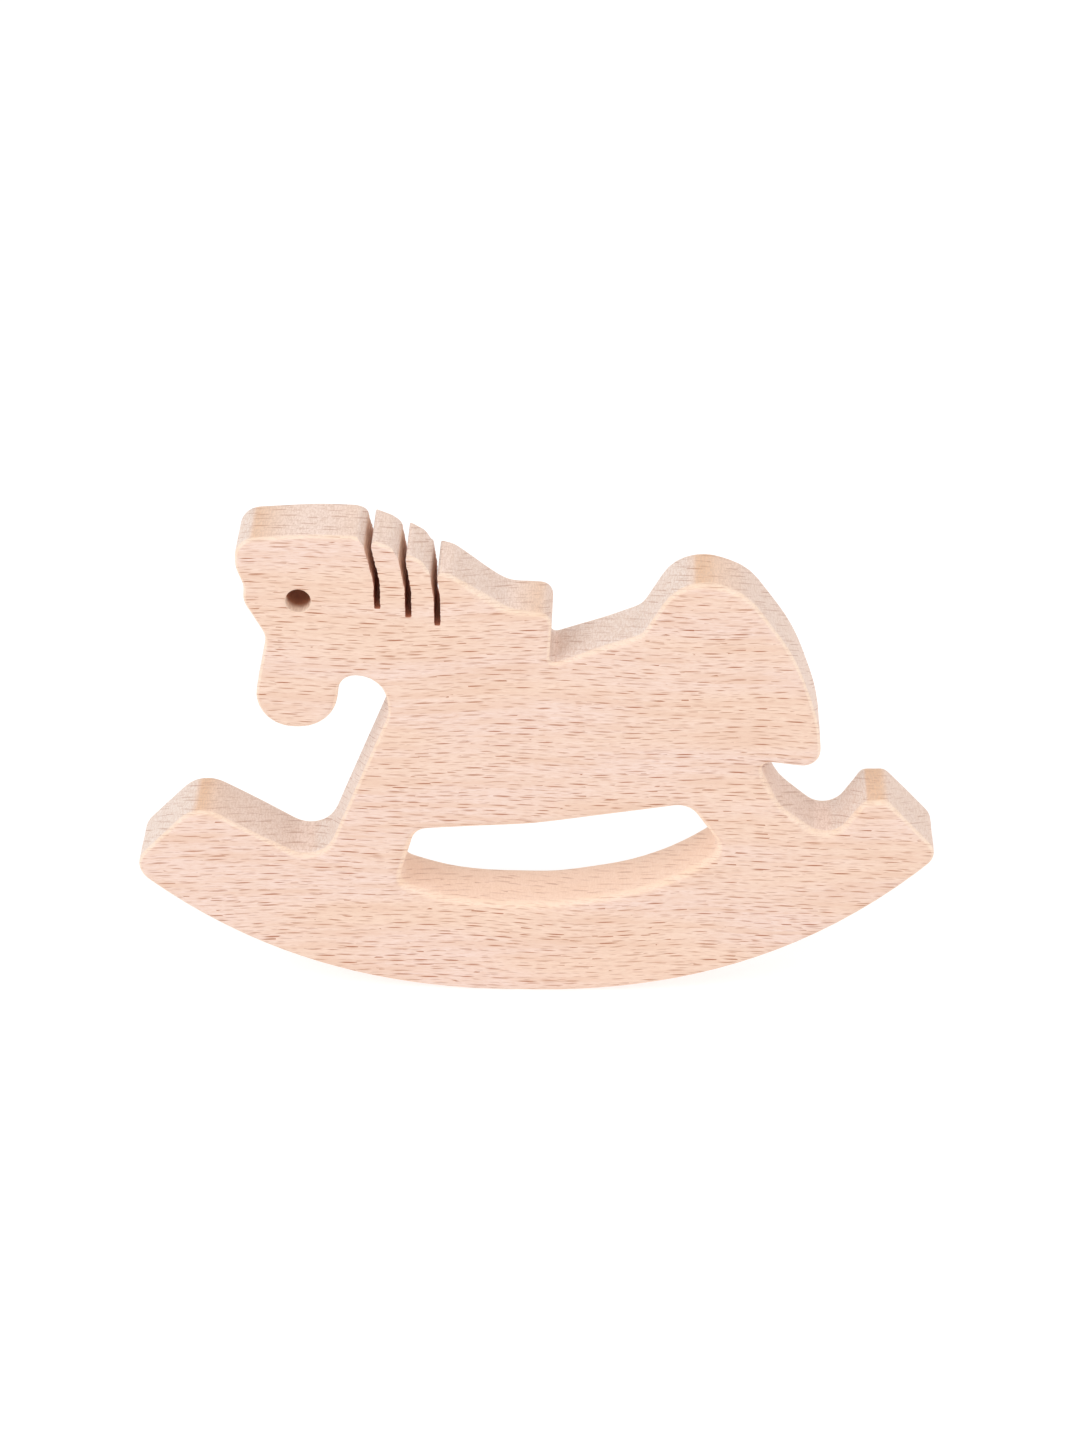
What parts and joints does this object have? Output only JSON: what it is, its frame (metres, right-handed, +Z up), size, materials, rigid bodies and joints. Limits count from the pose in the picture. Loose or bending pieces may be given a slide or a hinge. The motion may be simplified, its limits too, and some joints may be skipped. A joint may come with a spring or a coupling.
{
  "type": "wooden rocking horse hand toy",
  "caption": "Flat wooden rocking horse toy sawn from one board: horse on a curved rocker, with a crescent grip slot, a drilled eye and three saw cuts for the mane.",
  "frame": {"origin": "floor level under the middle of the horse's bounding box", "axes": "+X along the horse from head to tail, +Y through the board from the face seen first to the far face, +Z up"},
  "size_m": [0.1594, 0.015, 0.1039],
  "materials": {
    "beech": "sanded, no coating"
  },
  "bodies": {
    "root": {"rocking_horse": "beech"}
  },
  "joints": []
}
